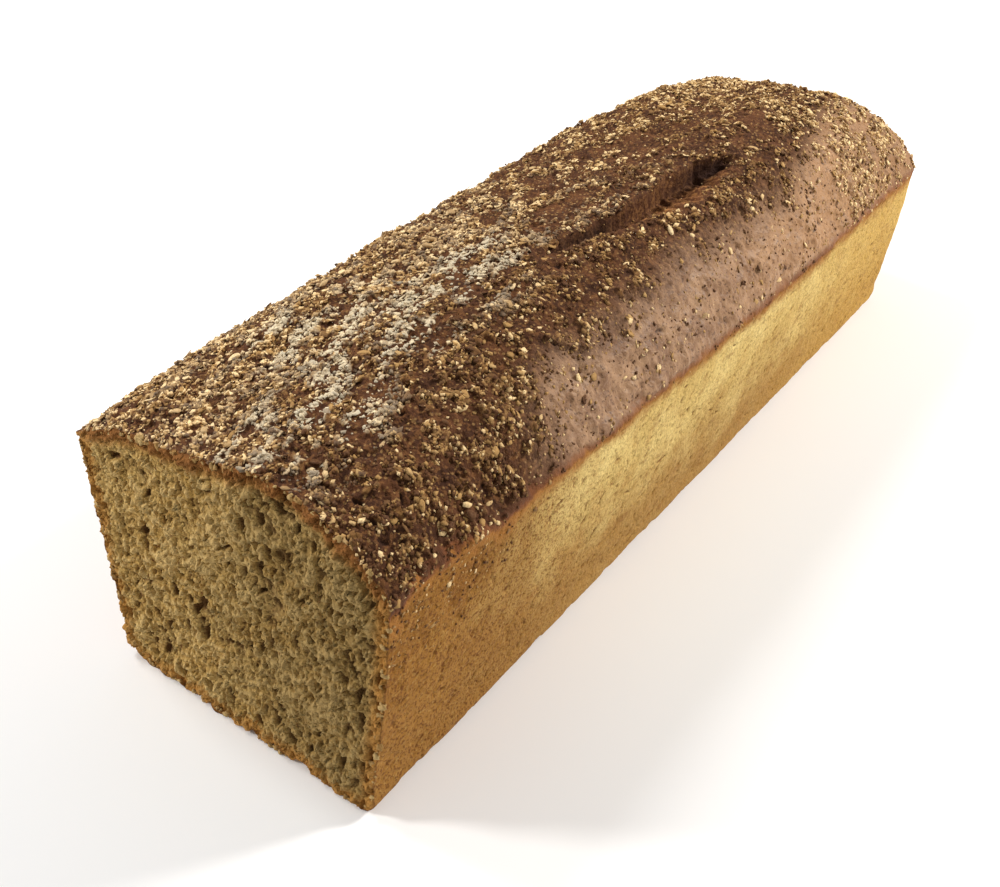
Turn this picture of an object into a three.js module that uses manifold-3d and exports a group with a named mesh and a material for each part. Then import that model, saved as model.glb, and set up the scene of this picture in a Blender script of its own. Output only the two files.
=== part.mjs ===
// Tin loaf: one piece of bread, baked in a long tin and cut across at one end.
//
// Millimetres, +Z up. The loaf lies along Y, with its cut face towards -Y and its rounded end towards
// +Y. The origin is at the middle of its box in X and Y, on the surface that it rests on.
//
// The outside is a stack of U-shaped rings. Each ring starts at the right edge of the cut face, runs
// round the far end and comes back to the left edge. The rings climb from the flat base round its
// edge, up the leaning side walls to the crust line, and then close in over the domed top to a ridge.
// One groove, where the crust tore open in the oven, is cut out of the top.

import * as THREE from 'three';
import { mergeVertices } from 'three/addons/utils/BufferGeometryUtils.js';
import Module from 'manifold-3d';

const { clamp, degToRad, lerp } = THREE.MathUtils;

// The tin: its opening, its floor and the lean of its walls
const LENGTH = 338; // from the cut, at the base, to the far end at the crust line
const CRUST_WIDTH = 112; // across the crust line at the cut
const BASE_WIDTH = 96;
const BASE_SHORTER = 5; // how much the far end leans out between the base and the crust line
const CRUST_CORNER = 20; // plan radius of the two far corners at the crust line
const BASE_CORNER = 10; // and at the base
const BASE_EDGE = 5; // radius between the base and the walls
const SIDE_BULGE = 1.5; // how far the crust line bows out half way along
const WALL_BULGE = 0.7; // how far a side wall bows out half way up
const END_BOW = 4; // how far the far end bows out in plan
const END_BULGE = 2; // and half way up

// The knife leaned back: the cut face runs this far along the loaf for each millimetre up
const CUT_LEAN = 0.09;
const CUT_REACH = 60; // how far along the loaf the rings are shifted to meet the cut

// The crust line, where the pale walls meet the dark top
const CRUST_LINE_CUT = 74; // its height at the cut
const CRUST_LINE_END = 63; // and at the far end
const CRUST_LINE_SAG = 2; // and how far it sags in between

// The domed top
const RIDGE = [89, 99.5, 101, 100.5, 84]; // heights at even steps, out to where it meets the far end
const RIDGE_SETBACK = 57; // the rings close in on a line that stops this far short of the far end
const DOME_FULLNESS = 3.45; // a higher number gives a flatter top
const DOME_SHOULDER = 1.2; // a higher number gives a steeper shoulder
const DOME_SKEW_CUT = 3; // at the cut, the right half rises and the left half sinks by this much
const DOME_SKEW_END = 1; // and at the far end

// The tear in the top crust is cut with an ellipsoid
const TEAR_CENTRE = new THREE.Vector3(24.5, -3, 103);
const TEAR_SIZE = new THREE.Vector3(14, 98, 18);
const TEAR_TURN = degToRad(-7); // its far end points a little to the right

// Steps of the faceted surface
const SIDE_STEPS = 18;
const CORNER_STEPS = 7;
const END_STEPS = 6;
const EDGE_STEPS = 3;
const WALL_STEPS = 5;
const DOME_STEPS = 12;
const TEAR_STEPS = 24;

// The height of a smooth line through evenly spaced heights, at a share of its length. Beyond each end
// the heights are taken to run on straight.
function smoothLine(heights, share) {
  const last = heights.length - 1;
  const padded = [2 * heights[0] - heights[1], ...heights, 2 * heights[last] - heights[last - 1]];
  const place = clamp(share, 0, 1) * last;
  const i = Math.min(Math.floor(place), last - 1);
  const [before, from, to, after] = padded.slice(i, i + 4);
  const t = place - i;
  const leaving = (to - before) / 2;
  const arriving = (after - from) / 2;
  const curve = 2 * (from - to) + leaving + arriving;
  const bend = 3 * (to - from) - 2 * leaving - arriving;
  return ((curve * t + bend) * t + leaving) * t + from;
}

// The columns that each ring crosses: the side, the stretch of the outline and how far along it is.
function makeColumns() {
  const right = [];
  const add = (stretch, along) => right.push({ side: 1, stretch, along });
  for (let k = 0; k < SIDE_STEPS; k++) add('wall', k / SIDE_STEPS);
  for (let k = 0; k < CORNER_STEPS; k++) add('corner', k / CORNER_STEPS);
  for (let k = 0; k <= END_STEPS; k++) add('end', k / END_STEPS);
  const left = right.slice(0, -1).reverse();
  return [...right, ...left.map((column) => ({ ...column, side: -1 }))];
}

// A point of the outline seen from above, with y counted from the cut. It is the base's outline at
// rise 0 and the crust line's at rise 1, drawn in by inset.
function outlinePoint({ side, stretch, along }, rise, inset) {
  const half = lerp(BASE_WIDTH, CRUST_WIDTH, rise) / 2 - inset;
  const length = LENGTH - END_BOW - BASE_SHORTER * (1 - rise) - inset;
  const corner = lerp(BASE_CORNER, CRUST_CORNER, rise) - inset;
  const turn = (along * Math.PI) / 2;
  let x = half;
  let y = (length - corner) * along;
  if (stretch === 'corner') {
    x = half - corner + corner * Math.cos(turn);
    y = length - corner + corner * Math.sin(turn);
  } else if (stretch === 'end') {
    x = (half - corner) * (1 - along);
    y = length;
  }
  const atEnd = clamp((y - length + corner) / corner, 0, 1);
  const halfWayUp = Math.sin(Math.PI * rise);
  const bulge = SIDE_BULGE * rise * Math.sin((Math.PI * y) / length) + WALL_BULGE * halfWayUp;
  return {
    x: side * x * (1 + bulge / half),
    y: y + END_BOW * atEnd ** 2 * (1 - (x / half) ** 2) + END_BULGE * halfWayUp * atEnd,
  };
}

// The rings are square to the loaf, so near the cut they are shifted along it to meet the cut.
function meetCut(x, y, z) {
  return [x, y + CUT_LEAN * z * clamp(1 - y / CUT_REACH, 0, 1), z];
}

function crustHeight(y) {
  const share = y / LENGTH;
  return lerp(CRUST_LINE_CUT, CRUST_LINE_END, share) - CRUST_LINE_SAG * Math.sin(Math.PI * share);
}

// A point on the rounded edge below the wall: turn runs from 0 at the base to a right angle.
function edgePoint(column, turn) {
  const z = BASE_EDGE * (1 - Math.cos(turn));
  const inset = BASE_EDGE * (1 - Math.sin(turn));
  const { x, y } = outlinePoint(column, z / CRUST_LINE_CUT, inset);
  return meetCut(x, y, z);
}

// A point on the wall: climb runs from 0 above the rounded edge to 1 at the crust line.
function wallPoint(column, climb) {
  const { x, y } = outlinePoint(column, lerp(BASE_EDGE / CRUST_LINE_CUT, 1, climb), 0);
  return meetCut(x, y, lerp(BASE_EDGE, crustHeight(y), climb));
}

// A point on the top: closing runs from 0 at the crust line to 1 on the ridge.
function domePoint(column, closing) {
  const edge = outlinePoint(column, 1, 0);
  const x = edge.x * (1 - closing);
  const y = lerp(edge.y, Math.min(edge.y, LENGTH - RIDGE_SETBACK), closing);
  const share = y / LENGTH;
  const swell = (1 - (1 - closing) ** DOME_FULLNESS) ** (1 / DOME_SHOULDER);
  const level = lerp(crustHeight(y), smoothLine(RIDGE, share), swell);
  const skew = (lerp(DOME_SKEW_CUT, DOME_SKEW_END, share) * edge.x) / (CRUST_WIDTH / 2);
  return meetCut(x, y, level + skew * 4 * closing * (1 - closing));
}

// Every ring from the edge of the flat base to the ridge.
function makeRings(columns) {
  const rings = [];
  const add = (place, share) => rings.push(columns.map((column) => place(column, share)));
  for (let k = 0; k <= EDGE_STEPS; k++) add(edgePoint, ((k / EDGE_STEPS) * Math.PI) / 2);
  for (let k = 1; k <= WALL_STEPS; k++) add(wallPoint, k / WALL_STEPS);
  for (let k = 1; k <= DOME_STEPS; k++) add(domePoint, (k / DOME_STEPS) ** 1.5); // closest at the shoulder
  return rings;
}

// A closed mesh from rings of the same number of points, with the base and the cut face filled in by
// strips between the right and left halves. Faces that close up to nothing on the ridge are left out.
function loafGeometry() {
  const columns = makeColumns();
  const rings = makeRings(columns);
  const count = columns.length;
  const positions = rings.flat(2);
  const faces = [];
  const add = (a, b, c) => faces.push(a, b, c);
  const at = (ring, column) => ring * count + column;
  for (let r = 0; r < rings.length - 1; r++) {
    for (let c = 0; c < count - 1; c++) {
      add(at(r, c), at(r, c + 1), at(r + 1, c + 1));
      add(at(r, c), at(r + 1, c + 1), at(r + 1, c));
    }
    add(at(r, 0), at(r + 1, 0), at(r + 1, count - 1));
    add(at(r, 0), at(r + 1, count - 1), at(r, count - 1));
  }
  for (let c = 0; c < (count - 1) / 2; c++) {
    add(at(0, c), at(0, count - 1 - c), at(0, count - 2 - c));
    add(at(0, c), at(0, count - 2 - c), at(0, c + 1));
  }
  const geometry = new THREE.BufferGeometry();
  geometry.setAttribute('position', new THREE.Float32BufferAttribute(positions, 3));
  geometry.setIndex(faces);
  return withoutEmptyFaces(mergeVertices(geometry, 1e-3));
}

function withoutEmptyFaces(geometry) {
  const kept = [];
  const index = geometry.index.array;
  for (let i = 0; i < index.length; i += 3) {
    const [a, b, c] = index.slice(i, i + 3);
    if (a !== b && b !== c && c !== a) kept.push(a, b, c);
  }
  geometry.setIndex(kept);
  return geometry;
}

function tearGeometry() {
  const ball = new THREE.SphereGeometry(0.5, TEAR_STEPS, TEAR_STEPS / 2);
  ball.deleteAttribute('normal');
  ball.deleteAttribute('uv');
  const tear = withoutEmptyFaces(mergeVertices(ball, 1e-5));
  tear.rotateX(Math.PI / 2); // its poles point along the loaf
  tear.scale(TEAR_SIZE.x, TEAR_SIZE.y, TEAR_SIZE.z);
  tear.rotateZ(TEAR_TURN);
  tear.translate(TEAR_CENTRE.x, TEAR_CENTRE.y, TEAR_CENTRE.z);
  return tear;
}

function toSolid(wasm, geometry) {
  const vertProperties = new Float32Array(geometry.attributes.position.array);
  const triVerts = new Uint32Array(geometry.index.array);
  return new wasm.Manifold(new wasm.Mesh({ numProp: 3, vertProperties, triVerts }));
}

function toGeometry(solid) {
  const mesh = solid.getMesh();
  const geometry = new THREE.BufferGeometry();
  geometry.setAttribute('position', new THREE.BufferAttribute(mesh.vertProperties, 3));
  geometry.setIndex(new THREE.BufferAttribute(mesh.triVerts, 1));
  return geometry;
}

const wasm = await Module();
wasm.setup();

const whole = loafGeometry();
whole.computeBoundingBox();
whole.translate(0, -(whole.boundingBox.min.y + whole.boundingBox.max.y) / 2, 0);
const torn = toGeometry(toSolid(wasm, whole).subtract(toSolid(wasm, tearGeometry())));
torn.computeVertexNormals();

const crust = new THREE.MeshStandardMaterial({ color: 0x8f5f3a, roughness: 0.85, metalness: 0 });
const loaf = new THREE.Mesh(torn, crust);
loaf.name = 'loaf';

const tinLoaf = new THREE.Group();
tinLoaf.add(loaf);

export default tinLoaf;
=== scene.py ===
"""The looks of a tin loaf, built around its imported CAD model.

The loaf is one closed mesh: a shell round the sides and over the top, the cut face and the base. Height
maps and noise push its surface in and out for pores, pits, wrinkles and the tear. Bran, grit, kernels
and crumbs are meshes of many small pieces that sit on it.

Shape code works in millimetres. x and z are the frame's own, and y is counted from the cut, at the base.
"""

import math

import bpy
import numpy as np
from mathutils import Matrix, Vector
from mathutils.geometry import delaunay_2d_cdt


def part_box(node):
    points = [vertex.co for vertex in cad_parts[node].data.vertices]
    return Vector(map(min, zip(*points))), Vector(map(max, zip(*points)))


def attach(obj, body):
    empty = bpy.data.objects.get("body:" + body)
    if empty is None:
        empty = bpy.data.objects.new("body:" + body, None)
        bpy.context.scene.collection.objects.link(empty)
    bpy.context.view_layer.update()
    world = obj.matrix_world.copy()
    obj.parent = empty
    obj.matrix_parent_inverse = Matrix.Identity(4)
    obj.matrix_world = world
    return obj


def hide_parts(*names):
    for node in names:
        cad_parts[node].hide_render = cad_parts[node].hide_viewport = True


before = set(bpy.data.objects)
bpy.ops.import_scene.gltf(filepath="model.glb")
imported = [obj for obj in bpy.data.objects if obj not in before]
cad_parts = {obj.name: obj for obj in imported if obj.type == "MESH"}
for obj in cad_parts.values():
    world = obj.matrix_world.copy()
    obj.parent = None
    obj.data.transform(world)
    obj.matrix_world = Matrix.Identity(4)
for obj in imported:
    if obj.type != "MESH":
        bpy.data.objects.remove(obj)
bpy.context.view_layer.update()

MM = 0.001
CUT_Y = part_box("loaf")[0][1]  # metres, in the frame

# The loaf's form, as the CAD model has it
LENGTH = 338
CRUST_WIDTH = 112
BASE_WIDTH = 96
BASE_SHORTER = 5
CRUST_CORNER = 20
BASE_CORNER = 10
BASE_EDGE = 5
SIDE_BULGE = 1.5
WALL_BULGE = 0.7
END_BOW = 4
END_BULGE = 2
CUT_LEAN = 0.09
CUT_REACH = 60
CRUST_LINE_CUT = 74
CRUST_LINE_END = 63
CRUST_LINE_SAG = 2
RIDGE = [89, 99.5, 101, 100.5, 84]  # heights, at even steps from the cut to the far end
RIDGE_SETBACK = 57
DOME_FULLNESS = 3.45
DOME_SHOULDER = 1.2
DOME_SKEW_CUT = 3
DOME_SKEW_END = 1
DOME_ARC = 68  # from the crust line over the top to the ridge, about
WALL_HEIGHT = CRUST_LINE_CUT - BASE_EDGE

SINK = 0.9  # the crust lies this far inside that form, so that the bran on it reaches it

# The fine mesh
SHELL_PITCH = 0.5
CUT_PITCH = 0.32
BASE_PITCH = 1.2
RIDGE_SPREAD = 40  # the shell's columns end on the ridge, up to this far short of the far end
DOME_CROWDING = 1.3  # above 1, the dome's rows crowd towards the crust line

# The tear: its edges (x) and its depth, at even steps from TEAR_START to TEAR_END (y)
TEAR_START = 117
TEAR_END = 212
TEAR_LEFT = [16.9, 18.0, 19.6, 20.2, 19.8, 21.2, 29.0]
TEAR_RIGHT = [18.8, 23.5, 28.5, 32.0, 34.5, 33.0, 29.8]
TEAR_DEPTH = [4.0, 7.0, 7.0, 7.0, 7.0, 6.5, 2.0]
TEAR_STEPS = np.linspace(TEAR_START, TEAR_END, len(TEAR_LEFT))

# Crevices in the top: place (x, y), half length, half width, depth
CREVICES = [
    (-16.4, 41, 3.0, 0.8, 1.6), (-7.8, 45.5, 2.4, 0.7, 1.4), (38.2, 17, 2.2, 0.8, 1.5),
    (42.9, 15.5, 1.8, 0.7, 1.3), (47.2, 14.5, 1.6, 0.7, 1.2),
]
# Where flour lies, and where the kernels that stand out lie: place (x, y)
FLOUR = [
    (-18.8, 56.4), (-3, 59.2), (12, 61.9), (19.7, 27.7), (10.8, 23.3), (6, 21.3), (11.3, 43.8),
    (-7.2, 75.7), (12, 82.3), (5.4, 103.7),
]
KERNELS = [(35, 157.5), (46.4, 175.7), (52.8, 150.1), (55.7, 196)]

# The cut face's big holes: place (x, z), half length, half width, turn in degrees
HOLES = [
    (-4.2, 78.3, 2.6, 1.3, 20), (11.2, 81.2, 2.0, 1.1, -20), (12.5, 61.9, 2.4, 1.0, 110),
    (-11.7, 28.4, 2.8, 1.2, 100), (11.2, 36.4, 2.2, 1.0, 70), (24, 24.6, 2.4, 1.2, 120),
    (26.5, 10, 2.0, 1.0, 60), (43.7, 39.3, 2.2, 1.1, 100), (46.1, 13, 1.9, 0.9, 80),
    (-32, 52.5, 2.6, 1.1, 60), (-40, 72.7, 2.4, 1.0, 30),
]

# The stage, in metres. Each lamp has its name, place, width, power in watts and colour
FLOOR_REACH = 6.0
ROOM_LIGHT = 0.34  # strength of the even light from all round
LAMP_AIM = (0, 0, 0.05)
LAMPS = [
    ("key", (0.62, 0.72, 0.78), 0.26, 13.5, (1.0, 0.975, 0.94)),
    ("top", (-0.6, -0.1, 1.0), 0.3, 5, (1.0, 1.0, 1.0)),
    ("front", (-1.0, -0.75, 0.6), 0.25, 12, (1.0, 0.98, 0.95)),
]

# The camera, in millimetres in the frame
CAMERA_PLACE = (182.197, -287.924, 252.248)
CAMERA_AIM = (-3.994, -45.485, 20.969)
CAMERA_ROLL = -0.969  # degrees
SENSOR_WIDTH = 36
LENS_LENGTH = 41.178

# How many small pieces lie on the loaf
GRIT_COUNT = 24500
COARSE_COUNT = 14000
FLAKE_COUNT = 8500
KERNEL_COUNT = 60
CRUMB_COUNT = 220

random = np.random.default_rng(12)


# ---- noise and height maps


def smoothstep(low, high, value):
    t = np.clip((value - low) / (high - low), 0, 1)
    return t * t * (3 - 2 * t)


def lattice_noise(points, size, seed):
    """Smooth noise from -1 to 1 with features of about the given size."""
    table = np.random.default_rng(seed).uniform(-1, 1, 4096)
    place = points / size + 1000.0
    cell = np.floor(place).astype(np.int64)
    f = place - cell
    f = f * f * f * (f * (f * 6 - 15) + 10)
    total = np.zeros(len(points))
    for dx in (0, 1):
        for dy in (0, 1):
            for dz in (0, 1):
                key = (cell[:, 0] + dx) * 73856093
                key ^= (cell[:, 1] + dy) * 19349663
                key ^= (cell[:, 2] + dz) * 83492791
                near_x = np.abs(1 - dx - f[:, 0])
                near_y = np.abs(1 - dy - f[:, 1])
                near_z = np.abs(1 - dz - f[:, 2])
                total += near_x * near_y * near_z * table[key & 4095]
    return total


def noise(points, size, octaves, seed):
    """Noise from about -2 to 2, with each octave half as big and half as strong as the one before."""
    flat = np.asarray(points, float).reshape(-1, 3)
    total = sum(lattice_noise(flat, size / 2**k, seed + k) / 2**k for k in range(octaves))
    return total.reshape(np.shape(points)[:-1])


class HeightMap:
    """Heights in millimetres over a rectangle, which dimples and bumps are pressed into."""

    def __init__(self, low, high, pitch):
        self.low = np.array(low, float)
        self.pitch = pitch
        size = np.ceil((np.array(high) - self.low) / pitch).astype(int) + 1
        self.heights = np.zeros(size)

    def press(self, centre, length, width, turn, depth, steepness=0.6):
        """A ragged dimple of these half sizes. A negative depth gives a bump."""
        centre = np.asarray(centre)
        reach = max(length, width) * 1.15
        first = np.maximum(np.floor((centre - reach - self.low) / self.pitch).astype(int), 0)
        last = np.ceil((centre + reach - self.low) / self.pitch).astype(int) + 1
        last = np.minimum(last, self.heights.shape)
        if (last <= first).any():
            return
        u = self.low[0] + np.arange(first[0], last[0])[:, None] * self.pitch - centre[0]
        v = self.low[1] + np.arange(first[1], last[1])[None, :] * self.pitch - centre[1]
        along = (u * math.cos(turn) + v * math.sin(turn)) / length
        across = (v * math.cos(turn) - u * math.sin(turn)) / width
        ragged = 1 + 0.25 * np.sin(3 * np.arctan2(across, along) + centre[0] * 7 + centre[1] * 3)
        inside = np.clip(1 - (along**2 + across**2) * ragged, 0, 1) ** steepness
        window = self.heights[first[0] : last[0], first[1] : last[1]]
        if depth > 0:
            window[...] = np.where(inside > 0, np.minimum(window, -depth * inside), window)
        else:
            window -= depth * inside

    def scatter(self, count, lengths, slimness, turn, depths):
        """Random dimples. lengths, slimness and depths are (least, most); turn is (middle, spread)."""
        span = (np.array(self.heights.shape) - 1) * self.pitch
        for _ in range(count):
            centre = self.low + random.uniform(0, 1, 2) * span
            length = lengths[0] + (lengths[1] - lengths[0]) * random.random() ** 2
            width = length * random.uniform(*slimness)
            self.press(centre, length, width, random.normal(*turn), random.uniform(*depths))

    def at(self, u, v):
        """The height at each place, read smoothly between the map's points."""
        place = (np.stack([u, v], -1) - self.low) / self.pitch
        place = np.clip(place, 0, np.array(self.heights.shape) - 1.001)
        i = np.floor(place).astype(int)
        f = place - i
        a, b = i[..., 0], i[..., 1]
        near = self.heights[a, b] * (1 - f[..., 0]) + self.heights[a + 1, b] * f[..., 0]
        far = self.heights[a, b + 1] * (1 - f[..., 0]) + self.heights[a + 1, b + 1] * f[..., 0]
        return near * (1 - f[..., 1]) + far * f[..., 1]


# ---- the loaf's form


def smooth_line(heights, share):
    """Height of a smooth line through evenly spaced heights, at a share of its length."""
    last = len(heights) - 1
    before_first = 2 * heights[0] - heights[1]
    after_last = 2 * heights[last] - heights[last - 1]
    padded = np.array([before_first, *heights, after_last])
    place = np.clip(share, 0, 1) * last
    i = np.minimum(np.floor(place), last - 1).astype(int)
    t = place - i
    before, start, end, after = (padded[i + k] for k in range(4))
    leaving = (end - before) / 2
    arriving = (after - start) / 2
    curve = 2 * (start - end) + leaving + arriving
    bend = 3 * (end - start) - 2 * leaving - arriving
    return ((curve * t + bend) * t + leaving) * t + start


class Columns:
    """Evenly spaced columns round the loaf's right half, from the cut to the middle of the far end."""

    def __init__(self, pitch):
        side = LENGTH - END_BOW - CRUST_CORNER
        corner = CRUST_CORNER * math.pi / 2
        end = CRUST_WIDTH / 2 - CRUST_CORNER
        sides, corners, ends = (math.ceil(length / pitch) for length in (side, corner, end))
        self.stretch = np.repeat([0, 1, 2], [sides, corners, ends + 1])
        self.along = np.concatenate(
            [np.arange(sides) / sides, np.arange(corners) / corners, np.arange(ends + 1) / ends]
        )
        start = np.choose(self.stretch, [0, side, side + corner])
        self.distance = start + self.along * np.choose(self.stretch, [side, corner, end])

    def outline(self, rise, inset=0.0):
        """x and y of the half outline at a share of the way up to the crust line."""
        half = (BASE_WIDTH + (CRUST_WIDTH - BASE_WIDTH) * rise) / 2 - inset
        length = LENGTH - END_BOW - BASE_SHORTER * (1 - rise) - inset
        corner = BASE_CORNER + (CRUST_CORNER - BASE_CORNER) * rise - inset
        turn = self.along * math.pi / 2
        wall_x = np.full(len(turn), half)
        corner_x = half - corner + corner * np.cos(turn)
        end_x = (half - corner) * (1 - self.along)
        x = np.choose(self.stretch, [wall_x, corner_x, end_x])
        wall_y = (length - corner) * self.along
        corner_y = length - corner + corner * np.sin(turn)
        y = np.choose(self.stretch, [wall_y, corner_y, np.full(len(turn), length)])
        at_end = np.clip((y - length + corner) / corner, 0, 1)
        half_way_up = math.sin(math.pi * rise)
        bulge = SIDE_BULGE * rise * np.sin(math.pi * y / length) + WALL_BULGE * half_way_up
        bow = END_BOW * at_end**2 * (1 - (x / half) ** 2)
        return x * (1 + bulge / half), y + bow + END_BULGE * half_way_up * at_end


def crust_height(y):
    share = y / LENGTH
    level = CRUST_LINE_CUT + (CRUST_LINE_END - CRUST_LINE_CUT) * share
    return level - CRUST_LINE_SAG * np.sin(math.pi * share)


def dome_height(x, y):
    """Height of the smooth top over a place."""
    pole = LENGTH - RIDGE_SETBACK
    edge_x, edge_y = Columns(1.0).outline(1.0)
    beyond = edge_y >= pole
    angles = np.arctan2(edge_y[beyond] - pole, edge_x[beyond])
    radii = np.hypot(edge_y[beyond] - pole, edge_x[beyond])
    angle = np.arctan2(np.maximum(y - pole, 0), np.abs(x))
    radius = np.interp(angle, angles, radii)
    side = np.interp(np.minimum(y, pole), edge_y[~beyond], edge_x[~beyond])
    past_pole = y > pole
    closing = np.where(past_pole, 1 - np.hypot(y - pole, x) / radius, 1 - np.abs(x) / side)
    closing = np.clip(closing, 0, 1)
    out_x = np.sign(x) * np.where(past_pole, radius * np.cos(angle), side)
    share = y / LENGTH
    swell = (1 - (1 - closing) ** DOME_FULLNESS) ** (1 / DOME_SHOULDER)
    crust = crust_height(y)
    skew = (DOME_SKEW_CUT + (DOME_SKEW_END - DOME_SKEW_CUT) * share) * out_x / (CRUST_WIDTH / 2)
    level = crust + (smooth_line(RIDGE, share) - crust) * swell
    return level + skew * 4 * closing * (1 - closing)


def meet_cut(points):
    """Slides the loaf's square rings along near the cut, because the knife leaned back."""
    moved = points.copy()
    moved[..., 1] += CUT_LEAN * points[..., 2] * np.clip(1 - points[..., 1] / CUT_REACH, 0, 1)
    return moved


class Half:
    """The smooth right or left half of the shell as a grid of rows from the base up to the ridge."""

    def __init__(self, side):
        self.side = side
        self.columns = Columns(SHELL_PITCH)
        edge_arc = BASE_EDGE * math.pi / 2
        edge_rows = math.ceil(edge_arc / SHELL_PITCH)
        wall_rows = math.ceil(WALL_HEIGHT / SHELL_PITCH)
        dome_rows = math.ceil(DOME_ARC / SHELL_PITCH)
        turns = np.arange(edge_rows) / edge_rows * math.pi / 2
        climbs = np.arange(wall_rows) / wall_rows
        closings = (np.arange(dome_rows + 1) / dome_rows) ** DOME_CROWDING
        up_dome = closings ** (1 / DOME_CROWDING) * DOME_ARC
        rows = [self.edge_row(turn) for turn in turns]
        rows += [self.wall_row(climb) for climb in climbs]
        rows += [self.dome_row(closing) for closing in closings]
        self.points = meet_cut(np.moveaxis(np.array(rows), 1, 2))
        self.distance = np.broadcast_to(self.columns.distance, self.points.shape[:2])
        self.row_height = np.concatenate(
            [turns * BASE_EDGE, edge_arc + climbs * WALL_HEIGHT, edge_arc + WALL_HEIGHT + up_dome]
        )
        # Millimetres up the surface from the crust line, less than 0 on the wall
        self.above = self.points[..., 2] - crust_height(self.points[..., 1])
        on_dome = edge_rows + wall_rows
        self.above[on_dome:] = up_dome[:, None]
        normals = side * np.cross(np.gradient(self.points, axis=1), np.gradient(self.points, axis=0))
        self.area = np.linalg.norm(normals, axis=2)
        self.normals = normals / np.maximum(self.area, 1e-9)[..., None]

    def edge_row(self, turn):
        z = BASE_EDGE * (1 - math.cos(turn))
        x, y = self.columns.outline(z / CRUST_LINE_CUT, BASE_EDGE * (1 - math.sin(turn)))
        return self.side * x, y, np.full(len(x), z)

    def wall_row(self, climb):
        start = BASE_EDGE / CRUST_LINE_CUT
        x, y = self.columns.outline(start + (1 - start) * climb)
        return self.side * x, y, BASE_EDGE + (crust_height(y) - BASE_EDGE) * climb

    def dome_row(self, closing):
        edge_x, edge_y = self.columns.outline(1.0)
        share = self.columns.distance / self.columns.distance[-1]
        x = self.side * edge_x * (1 - closing)
        y = edge_y + (share * (LENGTH - RIDGE_SPREAD) - edge_y) * closing
        return x, y, dome_height(x, y)


# ---- relief


def wall_map():
    """Relief of a wall, over the distance round the loaf and the height."""
    wall = HeightMap(low=(0, 0), high=(384, 76), pitch=0.25)
    wall.scatter(9000, (0.3, 0.9), (0.4, 1.0), (0.45, 0.6), (0.15, 0.5))
    wall.scatter(900, (0.8, 1.9), (0.2, 0.5), (0.45, 0.6), (0.3, 0.8))
    wall.scatter(110, (1.6, 3.4), (0.12, 0.28), (0.45, 0.5), (0.4, 1.0))
    return wall


def top_map():
    """Relief of the top, over x and y."""
    top = HeightMap(low=(-60, 0), high=(60, 340), pitch=0.3)
    for _ in range(9000):
        centre = (random.uniform(-58, 58), random.uniform(0, 338))
        size = random.uniform(0.5, 1.6)
        top.press(centre, size, size * random.uniform(0.5, 1), random.uniform(0, math.pi), -0.3, 1)
    top.scatter(6000, (0.3, 1.0), (0.4, 1.0), (1.4, 0.7), (0.2, 0.6))
    top.scatter(300, (0.8, 2.2), (0.2, 0.45), (1.3, 0.6), (0.5, 1.2))
    for x, y, length, width, depth in CREVICES:
        top.press((x, y), length, width, random.uniform(0.2, 1.2), depth)
    return top


def crumb_map():
    """Relief of the cut face, over x and z."""
    crumb = HeightMap(low=(-60, 0), high=(60, 92), pitch=0.15)
    for _ in range(9000):
        centre = (random.uniform(-58, 58), random.uniform(0, 90))
        size = 0.45 + 0.8 * random.random() ** 2
        turn = random.normal(1.9, 0.7)
        crumb.press(centre, size, size * random.uniform(0.6, 1), turn, -0.50 * size, 0.7)
    crumb.scatter(8000, (0.3, 0.7), (0.4, 1.0), (1.9, 0.8), (0.3, 0.8))
    crumb.scatter(1200, (0.6, 1.7), (0.3, 0.7), (1.9, 0.5), (0.8, 2.1))
    crumb.scatter(200, (1.4, 3.0), (0.3, 0.6), (1.9, 0.5), (1.8, 3.2))
    for x, z, length, width, turn in HOLES:
        crumb.press((x, z), length, width, math.radians(turn), 3.0, 0.5)
    return crumb


def tear_relief(x, y, points):
    """Depth of the tear under the top, and how much of the surface is torn, from 0 to 1."""
    ragged = 0.7 * noise(points, 4.5, 3, 40)
    left = np.interp(y, TEAR_STEPS, TEAR_LEFT) + ragged
    right = np.interp(y, TEAR_STEPS, TEAR_RIGHT) + 1.2 * noise(points, 6, 3, 44)
    width = np.maximum(right - left, 0.6)
    across = (x - left) / width
    ends = smoothstep(TEAR_START - 2, TEAR_START + 6, y) * smoothstep(TEAR_END + 2, TEAR_END - 8, y)
    steep = smoothstep(-0.02, 0.14, across)
    slope = 1 - smoothstep(0.2, 1.06, across)
    depth = np.interp(y, TEAR_STEPS, TEAR_DEPTH) * steep * slope * ends
    torn = smoothstep(-0.04, 0.06, across) * smoothstep(1.02, 0.8, across) * ends
    return depth, torn


# ---- meshes


def to_frame(points):
    """From shape millimetres to the frame's metres."""
    return np.asarray(points) * MM + np.array([0, CUT_Y, 0])


def add_object(name, data):
    thing = bpy.data.objects.new(name, data)
    bpy.context.scene.collection.objects.link(thing)
    return thing


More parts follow.
